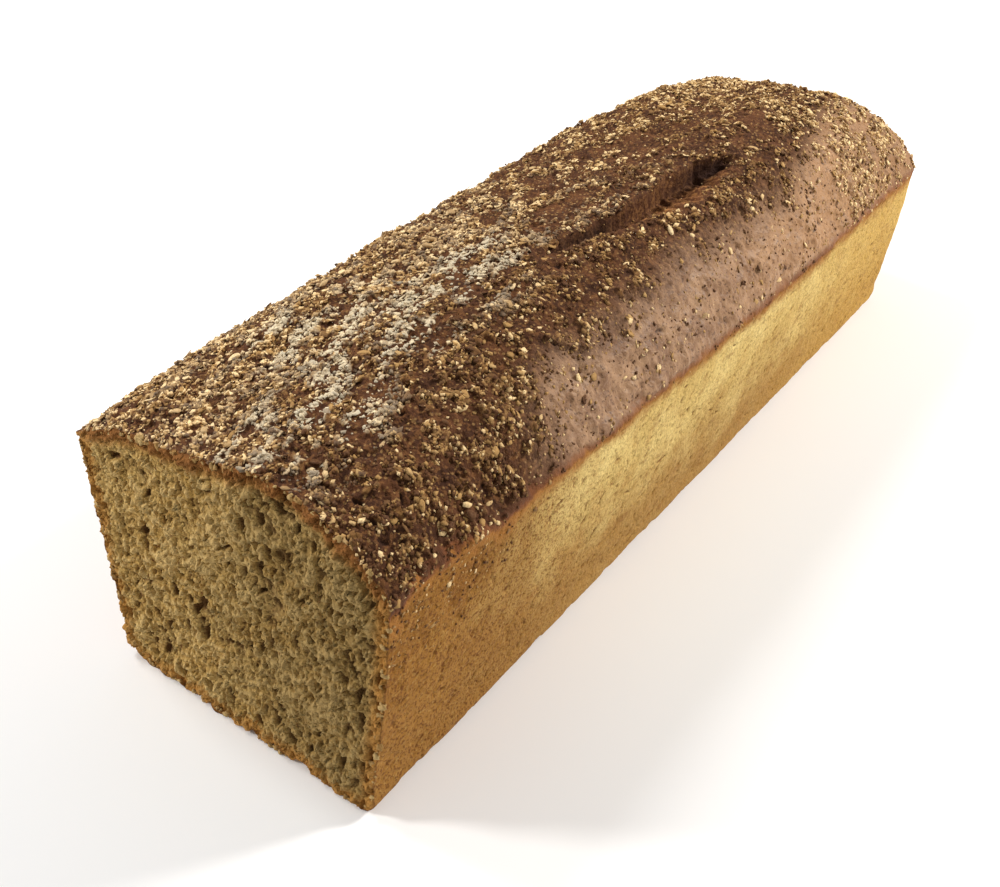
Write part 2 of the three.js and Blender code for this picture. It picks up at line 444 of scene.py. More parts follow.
def make_mesh(name, points, faces, materials, face_materials=None):
    """A smooth mesh in the frame. faces is a list of arrays, of quads or of triangles."""
    mesh = bpy.data.meshes.new(name)
    corners = np.concatenate([part.ravel() for part in faces]).astype(np.int32)
    sizes = np.concatenate([np.full(len(part), part.shape[1]) for part in faces])
    starts = np.concatenate([[0], np.cumsum(sizes)[:-1]]).astype(np.int32)
    mesh.vertices.add(len(points))
    mesh.vertices.foreach_set("co", to_frame(points).astype(np.float32).ravel())
    mesh.loops.add(len(corners))
    mesh.loops.foreach_set("vertex_index", corners)
    mesh.polygons.add(len(starts))
    mesh.polygons.foreach_set("loop_start", starts)
    if face_materials is not None:
        mesh.polygons.foreach_set("material_index", face_materials.astype(np.int32))
    mesh.update(calc_edges=True)
    mesh.shade_smooth()
    for material in materials:
        mesh.materials.append(material)
    return add_object(name, mesh)


def add_value(thing, name, values):
    """A number at each vertex, for the materials to read."""
    layer = thing.data.attributes.new(name, "FLOAT", "POINT")
    layer.data.foreach_set("value", values.astype(np.float32).ravel())


def add_map(thing, corner_places):
    """The map that a texture can be laid out on, with one place from 0 to 1 for each face corner."""
    layer = thing.data.uv_layers.new(name="OFBake")
    layer.uv.foreach_set("vector", corner_places.astype(np.float32).ravel())


def grid_quads(index, outward):
    """The quads of a grid of vertex numbers, turned round where outward is -1."""
    corners = [index[:-1, :-1], index[:-1, 1:], index[1:, 1:], index[1:, :-1]]
    quads = np.stack(corners, -1).reshape(-1, 4)
    return quads if outward > 0 else quads[:, ::-1]


def inside_loop(points, loop):
    """Which points are inside a closed loop."""
    result = np.zeros(len(points), bool)
    for a, b in zip(loop, np.roll(loop, -1, axis=0)):
        crosses = (a[1] > points[:, 1]) != (b[1] > points[:, 1])
        rise = b[1] - a[1] if b[1] != a[1] else 1e-12
        result ^= crosses & (points[:, 0] < (b[0] - a[0]) * (points[:, 1] - a[1]) / rise + a[0])
    return result


def distance_to_loop(points, loop, reach):
    """Distance to a closed loop of closely spaced points, no more than reach."""
    nearest = np.full(len(points), reach * 1.0)
    order = np.argsort(points[:, 1])
    sorted_y = points[order, 1]
    for place in loop:
        first, last = np.searchsorted(sorted_y, (place[1] - reach, place[1] + reach))
        rows = order[first:last]
        gap = np.hypot(*(points[rows] - place).T)
        nearest[rows] = np.minimum(nearest[rows], gap)
    return nearest


def fill_loop(loop, pitch):
    """Fills a flat loop with even, slightly jittered triangles.

    Gives the inner points, their distance to the loop (no more than 12), and the triangles, which number
    the loop's points first.
    """
    low = loop.min(axis=0)
    high = loop.max(axis=0)
    across = np.arange(low[0], high[0], pitch)
    up = np.arange(low[1], high[1], pitch * 0.87)
    u, v = np.meshgrid(across, up)
    u[1::2] += pitch / 2
    inner = np.stack([u.ravel(), v.ravel()], -1)
    inner += random.uniform(-0.2, 0.2, inner.shape) * pitch
    inner = inner[inside_loop(inner, loop)]
    gap = distance_to_loop(inner, loop, 12)
    keep = gap > pitch * 0.6
    inner = inner[keep]
    every = [Vector(place) for place in np.concatenate([loop, inner])]
    border = [(i, (i + 1) % len(loop)) for i in range(len(loop))]
    _, _, triangles, origins, _, _ = delaunay_2d_cdt(every, border, [], 1, 1e-7)
    numbers = np.array([origin[0] for origin in origins])
    return inner, gap[keep], numbers[np.array(triangles)]


# ---- where things are on the surface


def flat_points(x, y):
    return np.stack([x, y, 0 * x], -1)


def mauve_at(x, y, points):
    """The smooth mauve crust of the right shoulder, which has few flakes."""
    wander = 6 * noise(points, 22, 3, 60)
    far = smoothstep(230, 290, y)
    across = smoothstep(38, 52, x + wander * 0.6 + 14 * far)
    return across * smoothstep(55, 92, y + 1.5 * wander) * (1 - 0.25 * far)


def flour_at(x, y):
    """How much flour lies on the bran and flakes, from 0 to 1: in patches, longer along the loaf."""
    total = np.zeros(np.shape(x))
    for place_x, place_y in FLOUR:
        total = np.maximum(total, np.exp(-(((x - place_x) / 9) ** 2) - ((y - place_y) / 13) ** 2))
    stretched = flat_points(x * 2.0, y * 0.8)
    patches = smoothstep(-0.45, 0.35, noise(stretched, 9, 4, 70))
    spread = 0.18 * smoothstep(30, 14, x) * smoothstep(220, 120, y)
    return np.clip(total * 1.8 + spread, 0, 1) * patches


def bran_at(x, y, points, mauve, torn):
    """How thickly the bran lies, from 0 to 1.

    It lies in clumps, most of them near the cut and on the tear's lips. It is thin in the rest of the
    loaf's middle and on the mauve crust, and thinnest in the tear.
    """
    stretched = flat_points(x * 1.25, y * 0.85)
    thick = 0.35 * smoothstep(28, 8, x) * smoothstep(175, 120, y) + 0.10 * smoothstep(10, -10, x)
    middle = smoothstep(100, 140, y) * smoothstep(262, 232, y)
    thick -= 0.42 * middle
    from_left = np.abs(x - np.interp(y, TEAR_STEPS, TEAR_LEFT) + 3)
    from_right = np.abs(x - np.interp(y, TEAR_STEPS, TEAR_RIGHT) - 4)
    on_lips = 0.5 * np.exp(-((np.minimum(from_left, from_right) / 3.0) ** 2))
    thick += on_lips * smoothstep(TEAR_START - 5, TEAR_START + 5, y) * (y < TEAR_END)
    clumps = smoothstep(-0.50, 0.14, noise(stretched, 4.2, 3, 80) + thick)
    edge = smoothstep(-1.5, 1.5, noise(points, 4, 2, 84))
    far = smoothstep(215, 265, y)
    sparse = np.maximum((0.15 + 0.40 * far) * clumps, 0.06)
    density = np.maximum(clumps, 0.14 - 0.09 * middle) * (0.6 + 0.4 * edge)
    return (density * (1 - mauve) + sparse * mauve) * (1 - 0.9 * torn)


def painted_tear_shade_at(x, y, points, torn):
    """How much painted shade lies under the tear's steep left edge, from 0 to 1."""
    from_left = x - np.interp(y, TEAR_STEPS, TEAR_LEFT)
    darkest = np.maximum(smoothstep(158, 140, y), smoothstep(175, 205, y))
    under_edge = smoothstep(8, 3, from_left + 1.5 * noise(points, 5, 2, 58))
    return torn * under_edge * (0.42 + 0.56 * darkest)


def pale_at(x, y, points):
    """How pale the bran is, from 0 to 1: palest on the left and towards the far end."""
    far = smoothstep(225, 265, y) * (0.25 + 0.7 * smoothstep(5, 35, x))
    pale = 0.13 + 0.55 * smoothstep(16, -12, x) + far
    return np.clip(pale + 0.35 * noise(points, 8, 2, 62), 0, 1)


# What the materials read at each point of the loaf. above is millimetres up from the crust line, pit is
# how deep a pore is (less than 0 on a bump of the cut face), and rind is the distance in from the cut
# face's border. The others go from 0 to 1.
VALUE_NAMES = ("above", "pit", "torn", "painted_tear_shade", "mauve", "flour", "carpet", "pale", "rind", "base")

FAR_BELOW = -80.0  # the value of above on the base

# The loaf's two materials, by their place in its list
CRUST = 0
CRUMB = 1


class Surface:
    """The whole loaf's mesh as it grows: points, faces, their map and the values for the materials."""

    def __init__(self):
        self.points = []
        self.faces = []
        self.places = []
        self.kinds = []
        self.values = {name: [] for name in VALUE_NAMES}
        self.count = 0

    def add_points(self, points, **values):
        flat = points.reshape(-1, 3)
        self.points.append(flat)
        for name in VALUE_NAMES:
            value = np.asarray(values.get(name, 0.0), float)
            self.values[name].append(np.broadcast_to(value, points.shape[:-1]).ravel())
        numbers = np.arange(self.count, self.count + len(flat)).reshape(points.shape[:-1])
        self.count += len(flat)
        return numbers

    def add_faces(self, faces, places, kind):
        self.faces.append(faces)
        self.places.append(places.reshape(-1, 2))
        self.kinds.append(np.full(len(faces), kind))


def pits_and_grain(half, wall, top, on_top, mauve):
    """The wall's pits, and the top's pimples, pores and wrinkles."""
    x, y, z = np.moveaxis(half.points, -1, 0)
    pits = wall.at(half.distance, z) * (1 - on_top)
    pits *= smoothstep(0, 6, z) * 0.7 + 0.3
    grain = top.at(x, y) * on_top * (1 - 0.35 * mauve)
    grain += 0.34 * noise(half.points, 1.6, 2, 43) * on_top * (1 - mauve)
    grain += (0.10 * noise(half.points, 1.3, 2, 19) + 0.30 * noise(half.points, 3, 3, 23)) * mauve
    return pits, grain


def shell_relief(half, wall, top):
    """How far each point of a half moves out, the values for the materials and how thick the bran is."""
    points = half.points
    x, y, _ = np.moveaxis(points, -1, 0)
    on_top = smoothstep(-1, 3, half.above)
    depth, torn = tear_relief(x, y, points)
    clear_of_line = smoothstep(8, 12, half.above)
    depth = depth * clear_of_line
    torn = torn * clear_of_line
    mauve = mauve_at(x, y, points) * on_top
    border = half.above + 2.5 * noise(points, 5, 2, 90)
    near_cut = smoothstep(70, 20, y)
    bran = bran_at(x, y, points, mauve, torn)
    density = bran * smoothstep(-1.5, 4.5, border)
    density = np.maximum(density, 0.16 * near_cut * smoothstep(-32, -2, border) * (half.side > 0))
    # Bran packed into a grainy carpet, raised above the bare crust
    carpet = smoothstep(0.25, 0.8, density)
    grains = smoothstep(-0.30, 0.55, noise(points, 1.7, 2, 17))
    packed = carpet * (0.15 + 1.0 * grains)
    pits, grain = pits_and_grain(half, wall, top, on_top, mauve)
    lumps = 0.3 * noise(points, 16, 3, 7 + half.side) + 0.10 * noise(points, 2.6, 3, 13)
    rolling = (0.9 * noise(points, 15, 3, 27) + 0.4 * noise(points, 4, 3, 31)) * on_top
    lip = 0.5 * np.exp(-((half.above - 1.5) / 3.0) ** 2) * (1 + noise(points, 9, 3, 37))
    across_tear = flat_points(x * 0.35, y * 1.6)
    fibres = (1.1 * noise(across_tear, 3.4, 4, 50) + 0.45 * noise(points, 1.6, 2, 55)) * torn
    edge = np.clip(half.row_height / 12, 0, 1)[:, None]
    from_cut = smoothstep(0, 1.5, half.distance)
    fine = (pits + grain * (1 - torn)) * edge + packed * 0.9 + fibres
    move = fine * from_cut + lumps * edge + rolling * (1 - 0.6 * torn) + lip - depth
    move -= SINK * smoothstep(6, 14, half.row_height)[:, None]
    worn = smoothstep(0.0, 0.8, noise(points, 8, 4, 66))
    move -= 1.8 * worn * smoothstep(9, 0, half.row_height)[:, None]
    values = {
        "above": half.above + (1.2 + 4.5 * near_cut) * noise(points, 8, 3, 64),
        "pit": np.clip(-(pits + grain), 0, 2),
        "torn": torn,
        "painted_tear_shade": painted_tear_shade_at(x, y, points, torn),
        "mauve": mauve,
        "flour": flour_at(x, y) * on_top * (1 - torn),
        "carpet": carpet * (0.10 + 0.90 * grains),
        "pale": pale_at(x, y, points),
    }
    half.flour = values["flour"]
    half.pale = values["pale"]
    return move, values, density


def ragged_cut(points):
    """Moves the shell's edge at the cut to and fro, because the knife tore it slightly."""
    moved = points.copy()
    near = np.exp(-np.maximum(points[..., 1] - CUT_LEAN * points[..., 2], 0) / 1.2)
    moved[..., 1] += near * np.clip(0.45 * noise(points, 2.2, 3, 95) + 0.1, -0.3, 1)
    return moved


# Where each part of the loaf lies on the map: its lower left corner in map millimetres, and its scale
MAP_SIZE = 441
RIGHT_MAP = (1, 1, 1.0)
LEFT_MAP = (1, 151, 1.0)
CUT_MAP = (1, 302, 1.3)
BASE_MAP = (160, 302, 0.6)
HALF_ACROSS = 58  # the cut face and the base reach no further than this to each side of the middle


def on_map(u, v, part):
    corner_u, corner_v, scale = part
    return np.stack([corner_u + u * scale, corner_v + v * scale], -1) / MAP_SIZE


def add_half(surface, half, wall, top, shared=None):
    """Adds a half of the shell. The left half shares the right one's last row and last column."""
    move, values, density = shell_relief(half, wall, top)
    points = ragged_cut(half.points + half.normals * move[..., None])
    points[..., 2] = np.maximum(points[..., 2], 0)
    half.numbers = surface.add_points(points, **values)
    half.moved = points
    half.density = density
    index = half.numbers.copy()
    if shared is not None:
        index[-1] = shared.numbers[-1]
        index[:, -1] = shared.numbers[:, -1]
    half.index = index
    part = RIGHT_MAP if half.side > 0 else LEFT_MAP
    height = np.broadcast_to(half.row_height[:, None], half.distance.shape)
    places = on_map(half.distance, height, part).reshape(-1, 2)
    local = np.arange(index.size).reshape(index.shape)
    quads = grid_quads(index, half.side)
    surface.add_faces(quads, places[grid_quads(local, half.side)], CRUST)


def turned(triangles, places, outward):
    """The triangles, made to run anticlockwise on their flat places for outward 1, or clockwise for -1."""
    a, b, c = (places[triangles[:, k]] for k in range(3))
    right_way = np.cross(b - a, c - a) * outward > 0
    return np.where(right_way[:, None], triangles, triangles[:, ::-1])


def add_cut(surface, right, left, front, crumb):
    """Adds the cut face between the two halves' first columns and the base's front edge."""
    numbers = np.concatenate([right.index[:, 0], left.index[-2::-1, 0], front])
    every = np.concatenate(surface.points)
    border = every[numbers]
    inner, rind, triangles = fill_loop(border[:, [0, 2]], CUT_PITCH)
    x, z = inner.T
    flat = np.stack([x, 0 * x, z], -1)
    relief = crumb.at(x, z)
    swell = 0.8 * noise(flat, 8, 3, 100) + 0.22 * noise(flat, 2.6, 2, 104)
    leaning = flat_points(x * 0.94 + z * 0.34, 0.35 * (z * 0.94 - x * 0.34))
    swell += 0.42 * noise(leaning, 2.6, 2, 112)
    move = (relief + swell) * smoothstep(0, 0.9, rind)
    points = np.stack([x, np.maximum(CUT_LEAN * z - move, -0.8), z], -1)
    pit = -(relief + swell * 0.7)
    added = surface.add_points(points, rind=rind, pit=pit, above=z - CRUST_LINE_CUT)
    all_numbers = np.concatenate([numbers, added])
    all_places = np.concatenate([border[:, [0, 2]], inner])
    triangles = turned(triangles, all_places, 1)
    places = on_map(all_places[:, 0] + HALF_ACROSS, all_places[:, 1], CUT_MAP)
    surface.add_faces(all_numbers[triangles], places[triangles], CRUMB)


def add_base(surface, right, left, front):
    """Adds the base, flat where it rests and with small hollows in it."""
    numbers = np.concatenate([right.index[0], left.index[0][-2::-1], front])
    every = np.concatenate(surface.points)
    border = every[numbers]
    inner, gap, triangles = fill_loop(border[:, :2], BASE_PITCH)
    x, y = inner.T
    hollow = 0.8 * smoothstep(0.1, 0.9, noise(flat_points(x, y), 7, 4, 110)) * smoothstep(0, 3, gap)
    points = np.stack([x, y, hollow], -1)
    added = surface.add_points(points, above=FAR_BELOW, pit=hollow, base=1.0)
    all_numbers = np.concatenate([numbers, added])
    all_places = np.concatenate([border[:, :2], inner])
    triangles = turned(triangles, all_places, -1)
    places = on_map(all_places[:, 1], all_places[:, 0] + HALF_ACROSS, BASE_MAP)
    surface.add_faces(all_numbers[triangles], places[triangles], CRUST)


def add_front_edge(surface, right, left):
    """Adds the slightly ragged edge between the cut face and the base, from left to right."""
    start = surface.points[0][right.index[0, 0]]
    end = np.concatenate(surface.points)[left.index[0, 0]]
    count = math.ceil((start[0] - end[0]) / SHELL_PITCH)
    share = (np.arange(1, count) / count)[:, None]
    line = end + (start - end) * share
    fade = np.sin(math.pi * share[:, 0]) ** 0.5
    line[:, 1] += 0.9 * noise(line, 3.0, 3, 120) * fade
    line[:, 2] += 2.4 * smoothstep(-0.1, 0.8, noise(line, 4.5, 4, 124)) * fade
    return surface.add_points(line, above=FAR_BELOW)


def make_loaf(materials):
    """Gives the loaf, and the two halves of its shell for the small pieces to lie on."""
    surface = Surface()
    top = top_map()
    right = Half(1)
    left = Half(-1)
    add_half(surface, right, wall_map(), top)
    add_half(surface, left, wall_map(), top, shared=right)
    front = add_front_edge(surface, right, left)
    add_cut(surface, right, left, front, crumb_map())
    add_base(surface, right, left, front)
    loaf = make_mesh(
        "loaf_body", np.concatenate(surface.points), surface.faces, materials,
        np.concatenate(surface.kinds),
    )
    for name in VALUE_NAMES:
        add_value(loaf, name, np.concatenate(surface.values[name]))
    add_map(loaf, np.concatenate(surface.places))
    return loaf, right, left


# ---- bran, kernels and crumbs


def joined(grids):
    """The points or values of both halves' grids, as one list."""
    return np.concatenate([grid.reshape(-1, *grid.shape[2:]) for grid in grids])


class Spots:
    """Places on the surface, each with its normal, drawn at random by how thickly pieces should lie."""

    def __init__(self, halves, count, weight):
        weights = joined([weight(half) * half.area for half in halves])
        chosen = random.choice(len(weights), count, p=weights / weights.sum())
        points = joined([half.moved for half in halves])[chosen]
        self.places = points + random.uniform(-0.25, 0.25, (count, 3))
        self.normals = joined([half.normals for half in halves])[chosen]
        self.flour = joined([half.flour for half in halves])[chosen]
        self.pale = joined([half.pale for half in halves])[chosen]


def frames_on(normals, tilt):
    """For each normal, three axes: two along the surface at a random turn, and one roughly along it."""
    leaning = normals + random.normal(0, tilt, normals.shape)
    up = leaning / np.linalg.norm(leaning, axis=1, keepdims=True)
    turn = random.normal(0, 1, normals.shape)
    along = np.cross(turn, up)
    along /= np.linalg.norm(along, axis=1, keepdims=True)
    return np.stack([along, np.cross(up, along), up], 1)


def scatter_pieces(name, shapes, faces, spots, sizes, sink, material, tints):
    """One mesh of many small pieces. shapes holds each piece's points before it is sized and placed."""
    axes = frames_on(spots.normals, 0.22)
    local = shapes * sizes[:, None, :]
    placed = np.einsum("npk,nkj->npj", local, axes)
    placed += (spots.places - spots.normals * sink[:, None])[:, None]
    placed[..., 2] = np.maximum(placed[..., 2], 0.02)
    count, each = shapes.shape[:2]
    numbers = (faces[None] + np.arange(count)[:, None, None] * each).reshape(-1, 3)
    thing = make_mesh(name, placed.reshape(-1, 3), [numbers], [material])
    add_value(thing, "tint", np.repeat(tints, each))
    add_value(thing, "flour", np.repeat(spots.flour, each))
    side = math.ceil(math.sqrt(count))
    corner = np.stack([np.arange(count) % side, np.arange(count) // side], -1)
    flat = shapes[..., :2] / 2.6 + 0.5
    spread = (corner[:, None] + np.clip(flat, 0.04, 0.96)) / side
    add_map(thing, spread.reshape(-1, 2)[numbers.ravel()])
    return thing


def chip_shapes(count):
    """Small angular chips: points at the ends of three axes, pushed about."""
    ends = np.array([[1, 0, 0], [0, 1, 0], [-1, 0, 0], [0, -1, 0], [0, 0, 1], [0, 0, -1]], float)
    faces = np.array(
        [[0, 1, 4], [1, 2, 4], [2, 3, 4], [3, 0, 4], [1, 0, 5], [2, 1, 5], [3, 2, 5], [0, 3, 5]]
    )
    return ends + random.uniform(-0.3, 0.3, (count, 6, 3)), faces


def flake_shapes(count):
    """Thin bent plates with a ragged rim of seven points."""
    rim = 7
    angle = np.arange(rim) / rim * 2 * math.pi + random.uniform(-0.3, 0.3, (count, rim))
    radius = random.uniform(0.65, 1.1, (count, rim))
    x = radius * np.cos(angle)
    y = radius * np.sin(angle)
    bend = random.uniform(-0.5, 0.9, (count, 1))
    z = bend * x**2 + random.uniform(-0.12, 0.12, (count, rim))
    top = np.stack([x, y, z + 0.16], -1)
    bottom = np.stack([x * 0.94, y * 0.94, z - 0.16], -1)
    middle = np.zeros((count, 2, 3))
    middle[:, 0, 2] = 0.16 + random.uniform(-0.05, 0.2, count)
    middle[:, 1, 2] = -0.2
    faces = []
    for i in range(rim):
        j = (i + 1) % rim
        faces += [[i, j, 2 * rim], [rim + j, rim + i, 2 * rim + 1]]
        faces += [[i, rim + i, j], [j, rim + i, rim + j]]
    return np.concatenate([top, bottom, middle], 1), np.array(faces)


def ball_faces(rings, around):
    """Triangles of a ball made of rings of points between two end points, which come last."""
    faces = []
    for ring in range(rings - 1):
        for i in range(around):
            j = (i + 1) % around
            a, b = ring * around + i, ring * around + j
            faces += [[a, b, b + around], [a, b + around, a + around]]
    south, north = rings * around, rings * around + 1
    for i in range(around):
        j = (i + 1) % around
        faces.append([south, j, i])
        faces.append([north, (rings - 1) * around + i, (rings - 1) * around + j])
    return np.array(faces)


def ball_shapes(count, roughness, crease):
    """Lumpy balls for kernels and crumbs. A crease runs along the top of a kernel."""
    rings, around = 7, 12
    climb = (np.arange(1, rings + 1) / (rings + 1) - 0.5) * math.pi
    turn = np.arange(around) / around * 2 * math.pi
    x = np.cos(climb)[:, None] * np.cos(turn)
    z = np.cos(climb)[:, None] * np.sin(turn)
    y = np.sin(climb)[:, None] + 0 * x
    ball = np.stack([x, y, z], -1).reshape(-1, 3)
    ball = np.concatenate([ball, [[0, -1, 0], [0, 1, 0]]])
    shapes = np.repeat(ball[None], count, 0)
    where = shapes * 1.7 + random.uniform(0, 500, (count, 1, 3))
    shapes = shapes * (1 + roughness * noise(where, 1.4, 2, 130))[..., None]
    shapes[..., 2] -= crease * np.exp(-((shapes[..., 0] / 0.22) ** 2)) * (shapes[..., 2] > 0)
    return shapes, ball_faces(rings, around)


def make_grit(name, halves, size, gather, material):
    """Angular chips of bran, with each one's half size. A high gather keeps them to the clumps."""
    count = len(size)
    shapes, faces = chip_shapes(count)
    spots = Spots(halves, count, lambda half: half.density**gather)
    sizes = np.stack([size * random.uniform(0.9, 1.5, count), size, size * 0.75], -1)
    tints = np.clip(random.normal(0.08, 0.42, count) + 0.60 * spots.pale, 0, 1)
    return scatter_pieces(name, shapes, faces, spots, sizes, size * 0.1, material, tints)


def make_flakes(halves, material):
    count = FLAKE_COUNT
    shapes, faces = flake_shapes(count)
    spots = Spots(halves, count, lambda half: half.density**1.3)
    size = 0.6 + 1.2 * random.random(count) ** 2.2
    sizes = np.stack([size, size * random.uniform(0.35, 0.8, count), size * 0.32], -1)
    tints = np.clip(random.normal(0.28, 0.40, count) + 0.50 * spots.pale, 0, 1)
    return scatter_pieces("bran_flakes", shapes, faces, spots, sizes, size * 0.02, material, tints)


def make_kernels(halves, material):
    count = KERNEL_COUNT
    shapes, faces = ball_shapes(count, 0.12, 0.28)
    spots = Spots(halves, count, lambda half: half.density**2)
    every = joined([half.moved for half in halves])
    every_normal = joined([half.normals for half in halves])
    high = every[:, 2] > CRUST_LINE_END
    for i, place in enumerate(KERNELS):
        gap = np.hypot(*(every[:, :2] - place).T) + 99 * ~high
        spots.places[i] = every[gap.argmin()]
        spots.normals[i] = every_normal[gap.argmin()]
    length = random.uniform(1.4, 2.2, count)
    sizes = np.stack([length * 0.42, length, length * 0.36], -1)
    tints = np.clip(random.normal(0.6, 0.2, count), 0, 1)
    return scatter_pieces("kernels", shapes, faces, spots, sizes, length * 0.02, material, tints)


def make_crumbs(right, left, material):
    """Bits of crumb that the knife left sticking out along the cut's edges."""
    count = CRUMB_COUNT
    shapes, faces = ball_shapes(count, 0.55, 0.0)
    edge = np.concatenate([right.moved[:, 0], left.moved[:, 0]])
    bottom_x = np.linspace(-42, 42, 160)
    edge = np.concatenate([edge, np.stack([bottom_x, 0 * bottom_x, 0 * bottom_x], -1)])
    chosen = edge[random.integers(0, len(edge), count)]
    middle = np.array([0, 0, 42])
    inward = middle - chosen
    inward[:, 1] = 0
    inward /= np.linalg.norm(inward, axis=1, keepdims=True)
    spots = Spots([right], count, lambda half: half.density)
    spots.places = chosen + inward * random.uniform(0.1, 1.6, (count, 1))
    spots.places[:, 1] = CUT_LEAN * spots.places[:, 2]
    spots.places[:, 2] = np.maximum(spots.places[:, 2], 0.7)
    spots.normals = np.tile([0.0, -1.0, 0.1], (count, 1))
    spots.flour[:] = 0
    size = 0.3 + 0.75 * random.random(count) ** 2
    sizes = np.stack([size * 1.2, size * 0.8, size * 0.55], -1)
    tints = random.uniform(0.0, 0.9, count)
    return scatter_pieces("cut_crumbs", shapes, faces, spots, sizes, size * 0.1, material, tints)


# ---- materials


class Shader:
    """A material's nodes, one short call each. Sizes are in millimetres."""

    def __init__(self, name):
        self.material = bpy.data.materials.new(name)
        self.material.use_nodes = True
        self.nodes = self.material.node_tree.nodes
        self.links = self.material.node_tree.links
        self.surface = self.nodes["Principled BSDF"]
        self.position = self.node("TexCoord").outputs["Object"]

    def connect(self, value, socket):
        if isinstance(value, bpy.types.NodeSocket):
            self.links.new(value, socket)
        elif isinstance(value, tuple):
            socket.default_value = (*value, 1.0)
        else:
            socket.default_value = value

    def node(self, kind, **values):
        """A new node with these values in its inputs. An underscore stands for a space."""
        node = self.nodes.new("ShaderNode" + kind)
        for name, value in values.items():
            node.inputs[name.replace("_", " ")].default_value = value
        return node

    def value(self, name):
        """A number that the mesh carries."""
        node = self.node("Attribute")
        node.attribute_name = name
        return node.outputs["Fac"]

    def place(self, axis, start=0.0):
        """Millimetres along an axis of the frame, from start."""
        node = self.node("SeparateXYZ")
        self.links.new(self.position, node.inputs["Vector"])
        return self.sum(-start / MM, node.outputs[axis], 1 / MM)

    def noise(self, size, detail, roughness=0.6, stretch=None):
        node = self.node("TexNoise", Scale=1 / (size * MM), Detail=detail, Roughness=roughness)
        place = self.position
        if stretch:
            mapping = self.node("Mapping", Scale=stretch)
            self.links.new(place, mapping.inputs["Vector"])
            place = mapping.outputs["Vector"]
        self.links.new(place, node.inputs["Vector"])
        return node.outputs["Fac"]

    def cells(self, size):
        node = self.node("TexVoronoi", Scale=1 / (size * MM))
        self.links.new(self.position, node.inputs["Vector"])
        return node.outputs["Distance"]

    def sum(self, a, b, factor):
        """a + b * factor"""
        node = self.node("Math")
        node.operation = "MULTIPLY_ADD"
        self.connect(b, node.inputs[0])
        node.inputs[1].default_value = factor
        self.connect(a, node.inputs[2])
        return node.outputs["Value"]

    def times(self, a, b):
        node = self.node("Math")
        node.operation = "MULTIPLY"
        self.connect(a, node.inputs[0])
        self.connect(b, node.inputs[1])
        return node.outputs["Value"]

    def step(self, value, low, high, start=0.0, end=1.0):
        """Rises smoothly from start to end as value goes from low to high."""
        node = self.node("MapRange", From_Min=low, From_Max=high, To_Min=start, To_Max=end)
        node.interpolation_type = "SMOOTHSTEP"
        self.links.new(value, node.inputs["Value"])
        return node.outputs["Result"]

    def mix(self, factor, a, b):
        node = self.node("Mix")
        node.data_type = "RGBA"
        self.connect(factor, node.inputs[0])
        self.connect(a, node.inputs[6])
        self.connect(b, node.inputs[7])
        return node.outputs[2]

    def paint(self, colour, paint, value, low, high, most=1.0):
        """Lays a paint over a colour: none of it where value is low, and most of it where it is high."""
        return self.mix(self.step(value, low, high, 0, most), colour, paint)

    def finish(self, colour, roughness, height, depth, shine=0.0):
        """The material. depth is how far its fine bumps seem to stand out."""
        self.links.new(colour, self.surface.inputs["Base Color"])
        self.connect(roughness, self.surface.inputs["Roughness"])
        self.surface.inputs["Specular IOR Level"].default_value = shine
        bump = self.node("Bump", Strength=1.0, Distance=depth * MM)
        self.links.new(height, bump.inputs["Height"])
        self.links.new(bump.outputs["Normal"], self.surface.inputs["Normal"])
        return self.material


